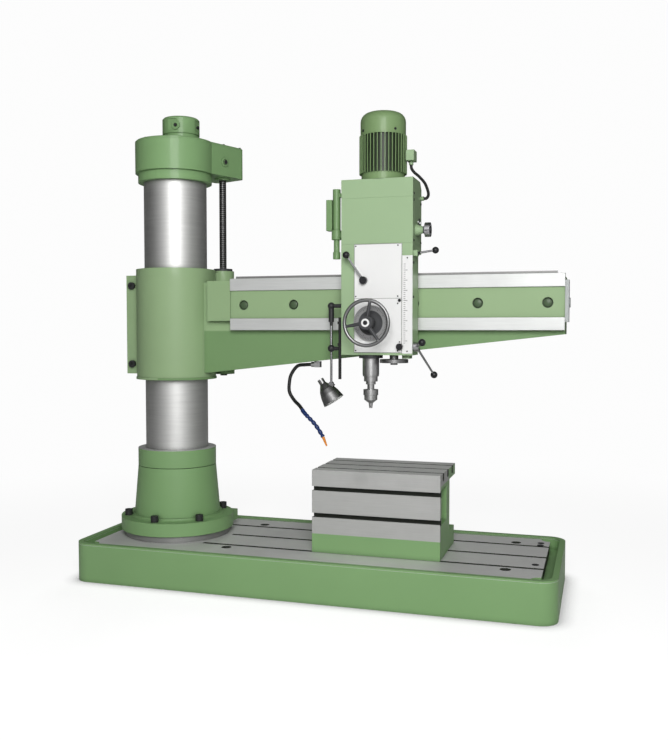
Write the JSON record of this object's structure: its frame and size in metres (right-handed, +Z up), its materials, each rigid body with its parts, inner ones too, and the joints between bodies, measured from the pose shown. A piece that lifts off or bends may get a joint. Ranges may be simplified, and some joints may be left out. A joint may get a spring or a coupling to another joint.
{
  "type": "radial arm drill",
  "caption": "Radial arm drill: column on a slotted base with a box table, lifting arm and traversing drill head with motor, quill, chuck, lamp and coolant hose",
  "frame": {"origin": "on the floor at the axis of the column", "axes": "+X along the base and the arm, +Y to the back, +Z up"},
  "size_m": [2.573, 0.91, 2.537],
  "materials": {
    "green_paint": "satin",
    "light_green_paint": "satin",
    "ground_steel": "ground",
    "polished_steel": "polished",
    "dark_cast": "dark",
    "black_plastic": "gloss",
    "black_rubber": "matt",
    "white_plate": "satin",
    "blue_plastic": "satin",
    "orange_plastic": "satin",
    "black_oxide": "oiled black",
    "grey_paint": "satin",
    "bulb_glass": "frosted"
  },
  "bodies": {
    "ground": {"base": "green_paint", "column_foot": "green_paint", "inner_column": "ground_steel", "column_bearings": "ground_steel", "box_table": "ground_steel", "hold_down_bolts": "black_oxide"},
    "column": {"outer_column": "polished_steel", "column_collar": "green_paint", "cap_collar": "green_paint", "cap_housing": "green_paint", "cap_lid": "green_paint", "lift_motor_cover": "green_paint", "cap_screws": "black_oxide"},
    "lead_screw": {"lead_screw": "polished_steel"},
    "lift_idler": {"lift_idler": "ground_steel"},
    "lift_pinion": {"lift_pinion": "ground_steel"},
    "arm": {"arm": "green_paint", "arm_end_cover": "grey_paint", "arm_rack": "ground_steel", "lift_nut": "dark_cast", "arm_bolts": "black_oxide", "coolant_fitting": "ground_steel", "coolant_hose": "black_rubber", "coolant_segments": "blue_plastic", "coolant_nozzle": "orange_plastic"},
    "head": {"head_casting": "light_green_paint", "gearbox_casing": "light_green_paint", "gearbox_cover": "light_green_paint", "quill_guide": "black_oxide", "front_plates": "white_plate", "plate_rivets": "black_oxide", "motor_frame": "light_green_paint", "motor_cowl": "light_green_paint", "junction_box": "light_green_paint", "motor_cable": "black_rubber", "side_cylinder": "grey_paint", "lamp_bracket": "black_oxide", "oil_pipe": "black_rubber"},
    "lamp_rod": {"lamp_rod": "polished_steel"},
    "lamp_head": {"lamp_shade": "dark_cast", "lamp_bulb": "bulb_glass"},
    "motor": {"motor_rotor": "ground_steel", "motor_fan": "black_plastic"},
    "drive_gear": {"drive_gear": "ground_steel"},
    "quill": {"quill": "polished_steel"},
    "spindle": {"spindle": "polished_steel", "drill_chuck": "ground_steel", "chuck_jaws": "ground_steel"},
    "handwheel": {"handwheel": "polished_steel"},
    "traverse_idler": {"traverse_idler": "ground_steel"},
    "traverse_shaft": {"traverse_shaft": "ground_steel"},
    "depth_dial": {"depth_dial": "dark_cast"},
    "feed_shaft": {"feed_shaft": "ground_steel"},
    "feed_levers": {"feed_levers": "polished_steel"},
    "speed_lever": {"speed_lever": "black_plastic"},
    "gear_lever": {"gear_lever": "black_plastic"},
    "side_handwheel": {"side_handwheel": "black_plastic"},
    "fine_feed_wheel": {"fine_feed_wheel": "black_plastic"},
    "control_knob": {"control_knob": "black_plastic"},
    "push_button": {"push_button": "black_plastic"}
  },
  "joints": [
    {"name": "column_swing", "type": "hinge", "parent": "ground", "child": "column", "pos_m": [0, 0, 0.6], "axis": [0, 0, 1], "range_deg": [-180, 180]},
    {"name": "arm_lift", "type": "slide", "parent": "column", "child": "arm", "axis": [0, 0, 1], "range_m": [-0.265, 0.32]},
    {"name": "lead_screw_turn", "type": "hinge", "parent": "column", "child": "lead_screw", "pos_m": [0.206, 0.19, 2.2], "axis": [0, 0, 1], "continuous": true},
    {"name": "lift_idler_turn", "type": "hinge", "parent": "column", "child": "lift_idler", "pos_m": [0.10639, 0.10646, 2.276], "axis": [0, 0, 1], "continuous": true},
    {"name": "lift_pinion_turn", "type": "hinge", "parent": "column", "child": "lift_pinion", "pos_m": [0.039, 0, 2.276], "axis": [0, 0, 1], "continuous": true},
    {"name": "head_traverse", "type": "slide", "parent": "arm", "child": "head", "axis": [1, 0, 0], "range_m": [-0.669, 0.581]},
    {"name": "handwheel_turn", "type": "hinge", "parent": "head", "child": "handwheel", "pos_m": [1.217, -0.366, 1.391], "axis": [0, 1, 0], "continuous": true},
    {"name": "traverse_idler_turn", "type": "hinge", "parent": "head", "child": "traverse_idler", "pos_m": [1.22671, -0.24, 1.53016], "axis": [0, 1, 0], "continuous": true},
    {"name": "traverse_shaft_turn", "type": "hinge", "parent": "head", "child": "traverse_shaft", "pos_m": [1.264, -0.1, 1.677], "axis": [0, 1, 0], "continuous": true},
    {"name": "motor_spin", "type": "hinge", "parent": "head", "child": "motor", "pos_m": [1.247, -0.15057, 1.8], "axis": [0, 0, 1], "continuous": true},
    {"name": "drive_gear_turn", "type": "hinge", "parent": "head", "child": "drive_gear", "pos_m": [1.194, -0.186, 1.8], "axis": [0, 0, 1], "continuous": true},
    {"name": "quill_feed", "type": "slide", "parent": "head", "child": "quill", "axis": [0, 0, -1], "range_m": [0, 0.315]},
    {"name": "spindle_spin", "type": "hinge", "parent": "quill", "child": "spindle", "pos_m": [1.194, -0.186, 1.1], "axis": [0, 0, 1], "continuous": true},
    {"name": "feed_shaft_turn", "type": "hinge", "parent": "head", "child": "feed_shaft", "pos_m": [1.194, -0.231, 1.273], "axis": [1, 0, 0], "continuous": true},
    {"name": "depth_dial_turn", "type": "hinge", "parent": "head", "child": "depth_dial", "pos_m": [1.217, -0.27, 1.391], "axis": [0, 1, 0], "continuous": true},
    {"name": "feed_levers_swing", "type": "hinge", "parent": "head", "child": "feed_levers", "pos_m": [1.439, -0.231, 1.273], "axis": [1, 0, 0], "range_deg": [-35, 8]},
    {"name": "speed_lever_swing", "type": "hinge", "parent": "head", "child": "speed_lever", "pos_m": [1.176, -0.27, 1.604], "axis": [0, 1, 0], "range_deg": [-30, 30]},
    {"name": "gear_lever_swing", "type": "hinge", "parent": "head", "child": "gear_lever", "pos_m": [1.438, -0.227, 1.736], "axis": [0, 1, 0], "range_deg": [-20, 20]},
    {"name": "side_handwheel_turn", "type": "hinge", "parent": "head", "child": "side_handwheel", "pos_m": [1.47, -0.178, 1.855], "axis": [1, 0, 0], "continuous": true},
    {"name": "fine_feed_turn", "type": "hinge", "parent": "head", "child": "fine_feed_wheel", "pos_m": [1.316, -0.19, 1.2], "axis": [0, 0, 1], "continuous": true},
    {"name": "control_knob_turn", "type": "hinge", "parent": "head", "child": "control_knob", "pos_m": [1.362, -0.27, 1.273], "axis": [0, 1, 0], "range_deg": [-60, 60]},
    {"name": "push_button_press", "type": "slide", "parent": "head", "child": "push_button", "axis": [0, 1, 0], "range_m": [0, 0.004], "stiffness_N_per_m": 600},
    {"name": "lamp_swing", "type": "hinge", "parent": "head", "child": "lamp_rod", "pos_m": [0.99, -0.21, 1.2], "axis": [0, 0, 1], "range_deg": [-90, 90]},
    {"name": "lamp_tilt", "type": "hinge", "parent": "lamp_rod", "child": "lamp_head", "pos_m": [0.99, -0.21, 1.079], "axis": [0, 1, 0], "range_deg": [-25, 25]}
  ],
  "couplings": [
    {"joint": "lead_screw_turn", "follows": "arm_lift", "rad_per_m": 523.6},
    {"joint": "lift_idler_turn", "follows": "arm_lift", "rad_per_m": -267.89},
    {"joint": "lift_pinion_turn", "follows": "arm_lift", "rad_per_m": 575.96},
    {"joint": "traverse_shaft_turn", "follows": "head_traverse", "rad_per_m": 27.778},
    {"joint": "traverse_idler_turn", "follows": "head_traverse", "rad_per_m": -18.215},
    {"joint": "handwheel_turn", "follows": "head_traverse", "rad_per_m": 34.722},
    {"joint": "drive_gear_turn", "follows": "motor_spin", "ratio": -0.5},
    {"joint": "spindle_spin", "follows": "motor_spin", "ratio": -0.5},
    {"joint": "feed_shaft_turn", "follows": "quill_feed", "rad_per_m": -62.5},
    {"joint": "depth_dial_turn", "follows": "quill_feed", "rad_per_m": 17.952}
  ]
}
